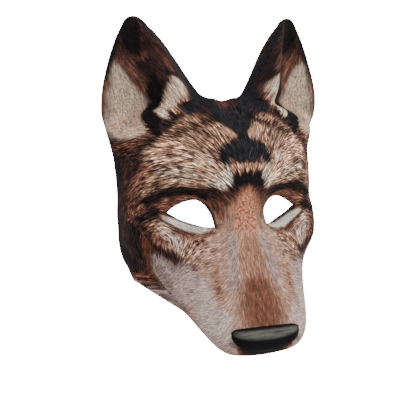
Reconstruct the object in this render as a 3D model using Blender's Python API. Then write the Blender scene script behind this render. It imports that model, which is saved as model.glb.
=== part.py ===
"""Moulded wolf face mask: a printed fabric and foam shell with cupped ears, a nose pad and an elastic strap.

Metres, +Z up. The mask faces -Y, and +X is the wearer's left. The origin is the point on the
inside of the bridge, between the eyes, where the mask sits on the wearer.
"""

import math
from collections import namedtuple

import bmesh
import bpy
import numpy as np
from mathutils import Vector
from mathutils.bvhtree import BVHTree

# Overall sizes of the moulded shell
FACE_WIDTH = 0.180      # cut edge to cut edge at the temples
FACE_HEIGHT = 0.197     # underside of the muzzle to the notch between the ears
FACE_DEPTH = 0.098      # plane of the side cut edges to the tip of the nose
EAR_HEIGHT = 0.0685     # notch between the ears to the ear tips
EAR_CUP = 0.022         # how far the front fold of an ear stands proud of its edges
WALL = 0.0025           # printed fabric bonded to foam
EAR_WALL = 0.0011       # the same, pressed thin at the ears
SOCKET_DEPTH = 0.0075   # hollow that each eye opening lies in

# Eye openings, as seen from the front
EYE_SPACING = 0.045     # inner corner to inner corner
EYE_LEVEL = -0.013      # inner corner, from the height of the seat
EYE_WIDTH = 0.0365      # inner corner to outer corner
EYE_RISE = 0.0160       # upper lid above the line between the corners
EYE_DROP = 0.0026       # lower lid below that line
EYE_TILT = math.radians(19)

# Nose pad
NOSE_WIDTH = 0.058
NOSE_HEIGHT = 0.0195
NOSE_END = 0.0085       # height of the blunt ends
NOSE_THICKNESS = 0.0032
NOSE_EDGE = 0.45        # thickness at the edge, as a share of NOSE_THICKNESS
NOSE_RAISE = 0.0071     # above the underside of the muzzle
NOSE_GAP = 0.0005

# Elastic strap round the back of the head
STRAP_WIDTH = 0.016
STRAP_THICKNESS = 0.0015
STRAP_LEVEL = 0.031     # middle of the band, from the height of the seat
STRAP_TONGUE = 0.024    # length of each end that is sewn to the wall
STRAP_MARGIN = 0.014    # from the wall's cut edge to where the sewn end starts
STRAP_REACH = 0.060     # how far the relaxed loop stands behind the side cut edges
STRAP_TURN = 0.85       # how sharply the band leaves the wall, as a share of its reach
STRAP_BOW = 1.25        # how round the loop is at the back, as a share of half the face's width
STRAP_GAP = 0.0004

# Mesh density
HALF_COLUMNS = 18
ROW_STEPS = 2
EAR_START = 2           # columns from the middle to the inner edge of an ear
TONGUE_STEPS = 5
LOOP_STEPS = 16

HALF_WIDTH = FACE_WIDTH / 2

# A section runs from the middle of the face to the cut edge at its side. Heights are shares of
# FACE_HEIGHT from the seat, widths are shares of HALF_WIDTH, and forward places are shares of
# FACE_DEPTH from the plane of the side cut edges. "cheek" is how far forward the section would
# be without the muzzle or brow, and "ridge" is where its middle is. "ridge_width" is half the
# width of that raised middle and "ridge_edge" how square it is. "fullness" is the roundness of
# the side, and "sag" is how closely the section's height follows the raised middle.
Section = namedtuple(
    "Section",
    "name mid_height edge_height edge_width edge_forward cheek ridge ridge_width fullness sag ridge_edge",
)
FACE = [
    Section("lip edge", -0.569, -0.297, 0.841, 0.141, 0.302, 0.755, 0.321, 2.7, 0.49, 3.2),
    Section("lip front", -0.558, -0.247, 0.863, 0.060, 0.373, 0.918, 0.528, 2.5, 0.716, 6.7),
    Section("nose base", -0.513, -0.218, 0.886, 0.020, 0.400, 1.000, 0.586, 3.0, 0.80, 8.0),
    Section("nose top", -0.437, -0.173, 0.911, 0.000, 0.455, 0.990, 0.560, 3.5, 0.75, 6.5),
    Section("muzzle front", -0.355, -0.127, 0.922, 0.000, 0.535, 0.918, 0.470, 4.0, 0.70, 5.0),
    Section("muzzle middle", -0.244, -0.071, 0.928, 0.000, 0.550, 0.827, 0.370, 4.0, 0.60, 4.0),
    Section("muzzle root", -0.122, -0.020, 0.934, 0.000, 0.530, 0.724, 0.300, 3.6, 0.50, 4.0),
    Section("bridge", -0.015, 0.030, 0.930, 0.000, 0.480, 0.663, 0.244, 3.3, 0.40, 4.0),
    Section("brow", 0.091, 0.091, 0.936, 0.000, 0.510, 0.689, 0.300, 2.9, 0.30, 4.0),
    Section("forehead", 0.193, 0.152, 0.950, 0.000, 0.530, 0.684, 0.367, 2.4, 0.30, 4.0),
    Section("crown", 0.315, 0.213, 0.970, 0.000, 0.470, 0.561, 0.378, 2.2, 0.30, 4.0),
    Section("notch", 0.431, 0.289, 1.020, 0.010, 0.327, 0.214, 0.244, 2.3, 0.00, 3.0),
]

# An ear's section runs from its inner cut edge to its outer one. Heights are shares of EAR_HEIGHT
# from the notch, widths of HALF_WIDTH, and forward places of FACE_DEPTH from the plane of the side
# cut edges. "fold" and "dish" are shares of EAR_CUP: the front fold, and the hollow beside it.
# "dome" is how far the section rises between its edges, as a share of EAR_HEIGHT.
EarSection = namedtuple(
    "EarSection",
    "name inner_height inner_width inner_forward outer_height outer_width outer_forward fold dish dome",
)
EAR = [
    EarSection("foot", 0.080, 0.206, 0.184, -0.204, 1.072, 0.031, 0.86, 0.05, 0.000),
    EarSection("lobe", 0.204, 0.276, 0.158, -0.015, 1.084, 0.036, 1.00, 0.09, 0.000),
    EarSection("cup", 0.336, 0.340, 0.133, 0.190, 1.065, 0.030, 1.00, 0.20, 0.000),
    EarSection("middle", 0.518, 0.424, 0.100, 0.438, 1.014, 0.020, 0.86, 0.24, 0.000),
    EarSection("upper", 0.723, 0.534, 0.070, 0.672, 0.952, 0.014, 0.52, 0.18, 0.000),
    EarSection("point", 0.881, 0.648, 0.043, 0.861, 0.884, 0.012, 0.15, 0.05, 0.004),
    EarSection("tip edge", 0.943, 0.692, 0.032, 0.936, 0.852, 0.014, 0.03, 0.00, 0.010),
    EarSection("tip", 0.975, 0.726, 0.026, 0.973, 0.824, 0.016, 0.00, 0.00, 0.014),
]
FOLD_PLACE, FOLD_SPREAD = 0.24, 0.17    # shares of an ear's width
DISH_PLACE, DISH_SPREAD = 0.62, 0.20

# The hollow round each eye opening: its middle from the inner corner and how far it spreads, as
# shares of EYE_WIDTH across and of EYE_RISE up
SOCKET_PLACE = (0.47, 0.57)
SOCKET_SPREAD = (0.64, 1.00)

# Where the fabric turns up into an ear at the notch: how far in the turn starts, as a share of
# HALF_WIDTH, and the share of an ear's columns that it eases over. The notch's edge rises from its
# middle to the ears by NOTCH_RISE, a share of FACE_HEIGHT.
TURN_REACH, TURN_SHARE = 0.10, 0.16
NOTCH_RISE = 0.014

# Lids of an eye opening: share of EYE_WIDTH from the inner corner, then share of the lid's height
UPPER_LID = [(0.00, 0.00), (0.08, 0.48), (0.25, 0.86), (0.46, 1.00), (0.66, 0.83), (0.86, 0.42), (1.00, 0.00)]
LOWER_LID = [(1.00, 0.00), (0.70, 0.90), (0.40, 1.00), (0.18, 0.90)]
LID_STEPS = 3


def clear_scene():
    for obj in list(bpy.data.objects):
        bpy.data.objects.remove(obj, do_unlink=True)


def material(name, colour, roughness):
    made = bpy.data.materials.new(name)
    made.use_nodes = True
    shader = made.node_tree.nodes["Principled BSDF"]
    shader.inputs["Base Color"].default_value = (*colour, 1.0)
    shader.inputs["Roughness"].default_value = roughness
    shader.inputs["Metallic"].default_value = 0.0
    return made


def add_object(name, mesh, finish):
    obj = bpy.data.objects.new(name, mesh)
    bpy.context.scene.collection.objects.link(obj)
    mesh.materials.append(finish)
    return obj


def plateau(x, half_width, edge):
    """1 in the middle, falling to 0 outside half_width."""
    return 1 / (1 + (np.abs(x) / half_width) ** edge)


def face_section(row):
    """Evenly spaced points (x, forward, height) from the middle of the face to the cut edge."""
    edge_x = row.edge_width * HALF_WIDTH
    angle = np.linspace(0, math.pi / 2, 400)
    x = edge_x * np.sin(angle) ** (2 / row.fullness)
    side = row.edge_forward + (row.cheek - row.edge_forward) * np.cos(angle) ** (2 / row.fullness)
    walked = np.concatenate([[0], np.cumsum(np.hypot(np.diff(x), np.diff(side * FACE_DEPTH)))])
    even = np.linspace(0, walked[-1], HALF_COLUMNS + 1)
    x = np.interp(even, walked, x)
    side = np.interp(even, walked, side)
    outside = plateau(edge_x, row.ridge_width * HALF_WIDTH, row.ridge_edge)
    raised = (plateau(x, row.ridge_width * HALF_WIDTH, row.ridge_edge) - outside) / (1 - outside)
    forward = side + (row.ridge - row.cheek) * raised
    level = row.sag * raised + (1 - row.sag) * (1 - (x / edge_x) ** 2)
    height = row.edge_height + (row.mid_height - row.edge_height) * level
    return np.stack([x, forward * FACE_DEPTH, height * FACE_HEIGHT], axis=1)


def ear_section(row):
    """Points (x, forward, height) across an ear, from its inner cut edge to its outer one."""
    share = np.linspace(0, 1, HALF_COLUMNS - EAR_START + 1)
    notch = FACE[-1].mid_height * FACE_HEIGHT
    x = (row.inner_width + (row.outer_width - row.inner_width) * share) * HALF_WIDTH
    forward = (row.inner_forward + (row.outer_forward - row.inner_forward) * share) * FACE_DEPTH
    rise = row.dome * 4 * share * (1 - share)
    height = notch + (row.inner_height + (row.outer_height - row.inner_height) * share + rise) * EAR_HEIGHT
    fold = row.fold * np.exp(-(((share - FOLD_PLACE) / FOLD_SPREAD) ** 2))
    dish = row.dish * np.exp(-(((share - DISH_PLACE) / DISH_SPREAD) ** 2))
    cup = fold - dish
    cup -= (1 - share) * cup[0] + share * cup[-1]
    return np.stack([x, forward + cup * EAR_CUP, height], axis=1)


def between(p0, p1, p2, p3, t):
    """A smooth curve through p1 and p2, which p0 and p3 steer."""
    return 0.5 * (
        2 * p1 + (p2 - p0) * t + (2 * p0 - 5 * p1 + 4 * p2 - p3) * t**2 + (3 * p1 - p0 - 3 * p2 + p3) * t**3
    )


def loft(before, rows, after, steps):
    """Rows of points through the given sections, with steps spaces between each two."""
    guide = [before, *rows, after]
    made = [
        between(*guide[i : i + 4], step / steps) for i in range(len(rows) - 1) for step in range(steps)
    ]
    return np.array([*made, rows[-1]])


def shell_grids():
    """The outer surface of one half: rows of points for the face, and for the ear above it."""
    face_rows = [face_section(row) for row in FACE]
    face_rows[-1] = rounded_notch(face_rows[-1])
    ear_rows = [ear_section(row) for row in EAR]
    above = 2 * face_rows[-1] - face_rows[-2]
    above[EAR_START:] = ear_rows[0]
    face = press_sockets(loft(2 * face_rows[0] - face_rows[1], face_rows, above, ROW_STEPS))
    past_tip = 2 * ear_rows[-1] - ear_rows[-2]
    notch = face_rows[-1][EAR_START:]
    ear = loft(turned_in(notch, face_rows[-2][EAR_START:]), [notch, *ear_rows], past_tip, ROW_STEPS)
    return face, ear


def rounded_notch(row):
    """The notch's row, raised where the ears start and easing back to its height beyond them."""
    share = (row[:, 0] / row[EAR_START, 0]) ** 2
    row[:, 2] += NOTCH_RISE * FACE_HEIGHT * share * np.exp(1 - share)
    return row


def turned_in(notch, below):
    """The points that steer the fabric up from the notch: inward at an ear's inner edge, else from below."""
    share = np.linspace(0, 1, len(notch))[:, None] / TURN_SHARE
    ease = np.clip(share, 0, 1) ** 2 * (3 - 2 * np.clip(share, 0, 1))
    return (notch - np.array([TURN_REACH * HALF_WIDTH, 0, 0])) * (1 - ease) + below * ease


def press_sockets(face):
    """Press the hollows round the eyes into the face's rows."""
    middle_x = EYE_SPACING / 2 + SOCKET_PLACE[0] * EYE_WIDTH
    middle_z = EYE_LEVEL + SOCKET_PLACE[1] * EYE_RISE
    across = (face[..., 0] - middle_x) / (SOCKET_SPREAD[0] * EYE_WIDTH)
    upward = (face[..., 2] - middle_z) / (SOCKET_SPREAD[1] * EYE_RISE)
    face[..., 1] -= SOCKET_DEPTH * np.exp(-(across**2) - upward**2)
    return face


def seat_forward(face):
    """Forward place of the inside of the bridge at the height of the seat."""
    middle = face[:, 0]
    return float(np.interp(0.0, middle[:, 2], middle[:, 1])) - WALL


def shell_mesh(face, ear, seat):
    """The outer surface as one sheet of quads, face and both ears, with the seat at y = 0."""
    bm = bmesh.new()

    def add_row(points, mirror):
        return [bm.verts.new((mirror * x, seat - forward, z)) for x, forward, z in points]

    left = [add_row(points, 1) for points in face]
    right = [[first[0], *add_row(points[1:], -1)] for first, points in zip(left, face)]
    for mirror, rows in ((1, left), (-1, right)):
        ears = [rows[-1][EAR_START:], *(add_row(points, mirror) for points in ear[1:])]
        for sheet in (rows, ears):
            for low, high in zip(sheet[:-1], sheet[1:]):
                for i in range(len(low) - 1):
                    corners = [low[i], low[i + 1], high[i + 1], high[i]]
                    bm.faces.new(corners if mirror == 1 else corners[::-1])
    mesh = bpy.data.meshes.new("face_shell")
    bm.to_mesh(mesh)
    bm.free()
    return mesh


def thin_ears(obj):
    """Weigh the wall's thickness down from the crown to the ears."""
    group = obj.vertex_groups.new(name="wall")
    crown = FACE[-2].mid_height * FACE_HEIGHT
    notch = FACE[-1].mid_height * FACE_HEIGHT
    for vert in obj.data.vertices:
        share = min(1.0, max(0.0, (vert.co.z - crown) / (notch - crown)))
        group.add([vert.index], 1 - share, "REPLACE")


def lid_curve(points, height):
    """A smooth line through a lid's points, as (along, up) in metres."""
    knots = np.array([(along * EYE_WIDTH, up * height) for along, up in points])
    first = 2 * knots[0] - knots[1]
    last = 2 * knots[-1] - knots[-2]
    return loft(first, list(knots), last, LID_STEPS)


def eye_outline():
    """The opening seen from the front, as (x, z) for the eye on the +X side."""
    upper = lid_curve(UPPER_LID, EYE_RISE)
    lower = lid_curve([*LOWER_LID, UPPER_LID[0]], -EYE_DROP)
    ring = np.concatenate([upper[:-1], lower[:-1]])
    turn = np.array([[math.cos(EYE_TILT), math.sin(EYE_TILT)], [-math.sin(EYE_TILT), math.cos(EYE_TILT)]])
    return ring @ turn + np.array([EYE_SPACING / 2, EYE_LEVEL])


def prism(name, outline, front_y, back_y):
    """A closed prism along Y through an outline of (x, z) points."""
    bm = bmesh.new()
    front = [bm.verts.new((x, front_y, z)) for x, z in outline]
    back = [bm.verts.new((x, back_y, z)) for x, z in outline]
    bm.faces.new(front)
    bm.faces.new(back[::-1])
    for i in range(len(front)):
        after = (i + 1) % len(front)
        bm.faces.new([front[after], front[i], back[i], back[after]])
    bmesh.ops.recalc_face_normals(bm, faces=bm.faces)
    mesh = bpy.data.meshes.new(name)
    bm.to_mesh(mesh)
    bm.free()
    obj = bpy.data.objects.new(name, mesh)
    bpy.context.scene.collection.objects.link(obj)
    obj.hide_render = True
    obj.display_type = "WIRE"
    return obj


def build_shell(finish):
    """The moulded shell, with its wall inside the printed surface and both eyes cut through."""
    face, ear = shell_grids()
    seat = seat_forward(face)
    obj = add_object("face_shell", shell_mesh(face, ear, seat), finish)
    thin_ears(obj)
    wall = obj.modifiers.new("wall", "SOLIDIFY")
    wall.vertex_group = "wall"
    wall.thickness_vertex_group = EAR_WALL / WALL
    wall.thickness = WALL
    wall.offset = -1
    outline = eye_outline()
    for name, mirror in (("eye_cutter_left", 1), ("eye_cutter_right", -1)):
        cutter = prism(name, outline * np.array([mirror, 1.0]), -FACE_DEPTH, FACE_DEPTH)
        cut = obj.modifiers.new(name, "BOOLEAN")
        cut.operation = "DIFFERENCE"
        cut.solver = "EXACT"
        cut.object = cutter
    return obj, seat


def tree_of(obj):
    """A search tree of the finished solid, to seat other pieces on."""
    graph = bpy.context.evaluated_depsgraph_get()
    return BVHTree.FromObject(obj, graph)


def ribbon_solid(name, rings, finish):
    """A closed solid through rings of four or more corners, each ring in the same order."""
    bm = bmesh.new()
    made = [[bm.verts.new(Vector(p)) for p in ring] for ring in rings]
    for one, two in zip(made[:-1], made[1:]):
        for i in range(len(one)):
            after = (i + 1) % len(one)
            bm.faces.new([one[i], one[after], two[after], two[i]])
    bm.faces.new(made[0][::-1])
    bm.faces.new(made[-1])
    bmesh.ops.recalc_face_normals(bm, faces=bm.faces)
    mesh = bpy.data.meshes.new(name)
    bm.to_mesh(mesh)
    bm.free()
    return add_object(name, mesh, finish)


def build_nose(shell, finish):
    """The nose pad, a half moon that follows the front of the muzzle."""
    tree = tree_of(shell)
    top = FACE[0].mid_height * FACE_HEIGHT + NOSE_RAISE + NOSE_HEIGHT
    across = np.linspace(-1, 1, 19)
    down = np.linspace(0, 1, 6)

    def seat_point(x, z):
        hit = tree.ray_cast(Vector((x, -FACE_DEPTH, z)), Vector((0, 1, 0)))[0]
        return hit.y - NOSE_GAP

    bm = bmesh.new()
    front, back = [], []
    for share in across:
        x = share * NOSE_WIDTH / 2
        tall = NOSE_END + (NOSE_HEIGHT - NOSE_END) * (1 - share**2) ** 0.75
        row = [(x, seat_point(x, top - tall * d), top - tall * d) for d in down]
        swell = [(1 - share**4) ** 0.5 * math.sin(math.pi * min(1, 0.12 + 0.8 * d)) for d in down]
        crown = [NOSE_THICKNESS * (NOSE_EDGE + (1 - NOSE_EDGE) * rise) for rise in swell]
        back.append([bm.verts.new(p) for p in row])
        front.append([bm.verts.new((p[0], p[1] - c, p[2])) for p, c in zip(row, crown)])
    for sheet in (front, back):
        for left, right in zip(sheet[:-1], sheet[1:]):
            for i in range(len(down) - 1):
                bm.faces.new([left[i], right[i], right[i + 1], left[i + 1]])
    ring_front = [r[0] for r in front] + front[-1][1:] + [r[-1] for r in front[-2::-1]] + front[0][-2:0:-1]
    ring_back = [r[0] for r in back] + back[-1][1:] + [r[-1] for r in back[-2::-1]] + back[0][-2:0:-1]
    for i in range(len(ring_front)):
        after = (i + 1) % len(ring_front)
        bm.faces.new([ring_front[i], ring_front[after], ring_back[after], ring_back[i]])
    bmesh.ops.recalc_face_normals(bm, faces=bm.faces)
    mesh = bpy.data.meshes.new("nose_pad")
    bm.to_mesh(mesh)
    bm.free()
    return add_object("nose_pad", mesh, finish)


def hermite(start, start_pull, end, end_pull, t):
    return (
        (2 * t**3 - 3 * t**2 + 1) * start
        + (t**3 - 2 * t**2 + t) * start_pull
        + (3 * t**2 - 2 * t**3) * end
        + (t**3 - t**2) * end_pull
    )


def sewn_stations(tree, seat):
    """Stations of one sewn end, flat against the inside of the wall, from its front to its back."""
    stations = []
    for step in range(TONGUE_STEPS + 1):
        y = seat - STRAP_MARGIN - STRAP_TONGUE * (1 - step / TONGUE_STEPS)
        low, middle, high = (
            tree.ray_cast(Vector((HALF_WIDTH / 3, y, STRAP_LEVEL + lift)), Vector((1, 0, 0)))
            for lift in (-STRAP_WIDTH / 2, 0, STRAP_WIDTH / 2)
        )
        up = (high[0] - low[0]).normalized()
        inward = middle[1] * (-1 if middle[1].x > 0 else 1)
        inward = (inward - inward.dot(up) * up).normalized()
        nearest = max(hit[0].dot(inward) for hit in (low, middle, high))
        clear = nearest - middle[0].dot(inward) + STRAP_GAP
        stations.append((middle[0] + inward * clear, up, inward))
    return stations


def strap_stations(shell, seat):
    """Half of the strap: where its outer face is, which way is up, and which way is inward."""
    stations = sewn_stations(tree_of(shell), seat)
    start, start_up, start_in = stations[-1]
    leaving = (start - stations[-2][0]).normalized() + start_in * STRAP_TURN
    start_pull = leaving.normalized() * STRAP_REACH * STRAP_TURN
    end = Vector((0, seat + STRAP_REACH, STRAP_LEVEL))
    end_pull = Vector((-STRAP_BOW * HALF_WIDTH, 0, 0))
    for step in range(1, LOOP_STEPS + 1):
        t = step / LOOP_STEPS
        place = hermite(start, start_pull, end, end_pull, t)
        along = (place - hermite(start, start_pull, end, end_pull, t - 0.01)).normalized()
        up = start_up.lerp(Vector((0, 0, 1)), min(1.0, 2 * t))
        if step == LOOP_STEPS:
            along = Vector((-1, 0, 0))
        up = (up - up.dot(along) * along).normalized()
        stations.append((place, up, along.cross(up)))
    return stations


def build_strap(shell, seat, finish):
    """One flat elastic band, sewn inside the temples and looped round the back."""
    rings = []
    for place, up, inward in strap_stations(shell, seat):
        if inward.dot(Vector((0, seat, place.z)) - place) < 0:
            inward = -inward
        low = place - up * STRAP_WIDTH / 2
        high = place + up * STRAP_WIDTH / 2
        depth = inward * STRAP_THICKNESS
        rings.append([low, high, high + depth, low + depth])
    other = [[Vector((-p.x, p.y, p.z)) for p in ring] for ring in rings[-2::-1]]
    return ribbon_solid("head_strap", rings + other, finish)


def main():
    clear_scene()
    print_fabric = material("printed_fabric", (0.30, 0.20, 0.15), 0.75)
    nose_vinyl = material("nose_vinyl", (0.03, 0.03, 0.03), 0.35)
    elastic = material("elastic", (0.02, 0.02, 0.02), 0.85)
    shell, seat = build_shell(print_fabric)
    build_nose(shell, nose_vinyl)
    build_strap(shell, seat, elastic)


main()
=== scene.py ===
"""Wolf mask: a fur-printed fabric shell moulded on thin foam, with a glossy nose and an elastic strap."""

import math
from collections import namedtuple

import bpy
import numpy as np
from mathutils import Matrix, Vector
from mathutils.bvhtree import BVHTree
from mathutils.kdtree import KDTree


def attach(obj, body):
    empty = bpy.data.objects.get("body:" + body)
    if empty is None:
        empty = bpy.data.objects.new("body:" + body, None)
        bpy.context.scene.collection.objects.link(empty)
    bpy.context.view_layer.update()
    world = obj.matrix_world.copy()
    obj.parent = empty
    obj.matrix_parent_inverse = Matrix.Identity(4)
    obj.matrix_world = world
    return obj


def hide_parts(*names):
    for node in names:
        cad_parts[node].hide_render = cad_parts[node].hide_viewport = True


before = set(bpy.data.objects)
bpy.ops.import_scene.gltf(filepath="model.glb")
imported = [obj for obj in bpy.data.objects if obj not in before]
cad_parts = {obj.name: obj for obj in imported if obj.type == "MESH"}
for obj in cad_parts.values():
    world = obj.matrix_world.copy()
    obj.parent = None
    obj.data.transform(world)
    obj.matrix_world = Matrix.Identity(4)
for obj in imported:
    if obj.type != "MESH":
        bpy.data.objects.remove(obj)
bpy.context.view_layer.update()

bl_info = {
    "name": "Wolf mask",
    "version": (1, 0, 0),
    "blender": (4, 5, 0),
    "location": "View3D > Sidebar > Mask",
    "description": "Models a moulded, fur-printed wolf face mask",
    "category": "Mesh",
}

MM = 0.001

# A section of the face runs from the middle to the cut edge at its side. Heights are shares of the
# face's height from the seat, widths are shares of half its width, and forward places are shares of
# its depth from the plane of the side cut edges.
Section = namedtuple(
    "Section",
    "name mid_height edge_height edge_width edge_forward cheek ridge ridge_width fullness sag ridge_edge",
)
FACE = [
    Section("lip edge", -0.569, -0.297, 0.841, 0.141, 0.302, 0.755, 0.321, 2.7, 0.49, 3.2),
    Section("lip front", -0.558, -0.247, 0.863, 0.060, 0.373, 0.918, 0.528, 2.5, 0.716, 6.7),
    Section("nose base", -0.513, -0.218, 0.886, 0.020, 0.400, 1.000, 0.586, 3.0, 0.80, 8.0),
    Section("nose top", -0.437, -0.173, 0.911, 0.000, 0.455, 0.990, 0.560, 3.5, 0.75, 6.5),
    Section("muzzle front", -0.355, -0.127, 0.922, 0.000, 0.535, 0.918, 0.470, 4.0, 0.70, 5.0),
    Section("muzzle middle", -0.244, -0.071, 0.928, 0.000, 0.550, 0.827, 0.370, 4.0, 0.60, 4.0),
    Section("muzzle root", -0.122, -0.020, 0.934, 0.000, 0.530, 0.724, 0.300, 3.6, 0.50, 4.0),
    Section("bridge", -0.015, 0.030, 0.930, 0.000, 0.480, 0.663, 0.244, 3.3, 0.40, 4.0),
    Section("brow", 0.091, 0.091, 0.936, 0.000, 0.510, 0.689, 0.300, 2.9, 0.30, 4.0),
    Section("forehead", 0.193, 0.152, 0.950, 0.000, 0.530, 0.684, 0.367, 2.4, 0.30, 4.0),
    Section("crown", 0.315, 0.213, 0.970, 0.000, 0.470, 0.561, 0.378, 2.2, 0.30, 4.0),
    Section("notch", 0.431, 0.289, 1.020, 0.010, 0.327, 0.214, 0.244, 2.3, 0.00, 3.0),
]

# An ear's section runs from its inner cut edge to its outer one. Heights are shares of the ear's
# height from the notch, and so is dome, the section's rise between its edges. Fold and dish are
# shares of how deep the ear is cupped.
EarSection = namedtuple(
    "EarSection",
    "name inner_height inner_width inner_forward outer_height outer_width outer_forward fold dish dome",
)
EAR = [
    EarSection("foot", 0.080, 0.206, 0.184, -0.204, 1.072, 0.031, 0.86, 0.05, 0.000),
    EarSection("lobe", 0.204, 0.276, 0.158, -0.015, 1.084, 0.036, 1.00, 0.09, 0.000),
    EarSection("cup", 0.336, 0.340, 0.133, 0.190, 1.065, 0.030, 1.00, 0.20, 0.000),
    EarSection("middle", 0.518, 0.424, 0.100, 0.438, 1.014, 0.020, 0.86, 0.24, 0.000),
    EarSection("upper", 0.723, 0.534, 0.070, 0.672, 0.952, 0.014, 0.52, 0.18, 0.000),
    EarSection("point", 0.881, 0.648, 0.043, 0.861, 0.884, 0.012, 0.15, 0.05, 0.004),
    EarSection("tip edge", 0.943, 0.692, 0.032, 0.936, 0.852, 0.014, 0.03, 0.00, 0.010),
    EarSection("tip", 0.975, 0.726, 0.026, 0.973, 0.824, 0.016, 0.00, 0.00, 0.014),
]
FOLD_PLACE, FOLD_SPREAD = 0.24, 0.17
DISH_PLACE, DISH_SPREAD = 0.62, 0.20
SOCKET_PLACE, SOCKET_SPREAD = (0.47, 0.57), (0.64, 1.00)
TURN_REACH, TURN_SHARE, NOTCH_RISE = 0.10, 0.16, 0.014
STRAP_TURN, STRAP_BOW = 0.85, 1.25
STRAP_TRIM = 0.0001             # the visible band is this much thinner than its solid
STRAP_ROUND, NOSE_ROUND = 0.0004, 0.0006
TONGUE_STEPS, LOOP_STEPS, STRAP_LINES = 12, 60, 9
NOSE_EDGE, NOSE_RIM = 0.45, 0.22
NOSE_COLUMNS, NOSE_ROWS = 61, 25
EAR_SHARE = 1 / 9               # where an ear starts, as a share of the half width's columns

UPPER_LID = [(0.00, 0.00), (0.08, 0.48), (0.25, 0.86), (0.46, 1.00), (0.66, 0.83), (0.86, 0.42), (1.00, 0.00)]
LOWER_LID = [(1.00, 0.00), (0.70, 0.90), (0.40, 1.00), (0.18, 0.90)]

# How the print is drawn: the share of long and of short hairs in how far a mark's edge is pulled
# along the fur, that pull in millimetres on smooth and on bristly fur, and how dark hairs are.
HAIR_PULL, HAIR_REACH, HAIR_SHADE = (0.65, 0.35), (0.8, 3.2), (0.66, 0.42)
STRAY_REACH = 0.5

# Strands in the fabric's finish: length along the fur and width across it.
BROAD_STRAND, FINE_STRAND, GUARD_HAIR = (0.0080, 0.0008), (0.0040, 0.00038), (0.0085, 0.0011)
MOTTLE, SPECKLE, WEAVE = (0.0019, 0.0019), (0.0021, 0.0021), (0.0005, 0.0003)

# The studio: where each light stands, how wide it is and its power in watts.
KEY_LIGHT = ("key", (-0.5, -1.1, 0.9), 0.7, 7)
FILL_LIGHT = ("fill", (1.1, -0.9, 0.2), 0.9, 9)
ROOM_LIGHT = 0.75
PAPER_SIZE = 6
LOOK_BEHIND = 0.012             # what the camera looks at, behind the plane of the side cut edges
FRAME_SHIFT = -5 / 400          # the photograph's framing, as a share of its width

# Which way the printed fur lies, as an angle from the wearer's left, at places on the left half.
# Each row is x, z in millimetres and the angle in degrees.
LIE = [
    (0, 85, 90), (0, 60, 90), (0, 30, 90), (0, 0, 90), (0, -40, 90), (0, -80, 90), (0, -105, 90),
    (14, 62, 72), (30, 62, 55), (50, 62, 35), (70, 58, 20), (86, 52, 0),
    (14, 36, 60), (30, 38, 38), (50, 38, 12), (70, 36, -8), (84, 32, -45),
    (18, 18, 45), (34, 18, 12), (55, 16, -12), (72, 10, -32), (84, 2, -70),
    (15, -5, 75), (20, -18, -60), (40, -12, 18), (58, -8, 15), (74, -8, -40), (86, -20, -88),
    (30, -27, -48), (46, -30, -82), (60, -33, -125), (72, -34, -100), (78, -48, -80),
    (12, -45, 82), (26, -45, -62), (42, -50, -52), (58, -55, -60), (66, -60, -65),
    (14, -75, 85), (28, -75, -72), (42, -75, -60), (52, -78, -58), (30, -95, -60),
    (40, 82, 70), (32, 100, 62), (48, 92, 60), (58, 84, 80), (70, 78, 100), (84, 76, 110), (92, 70, 100),
    (46, 118, 60), (60, 112, 30), (72, 108, 60), (88, 108, 95), (56, 132, 55), (68, 130, 20), (82, 130, 100),
    (68, 148, 70), (74, 148, 100),
]

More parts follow.
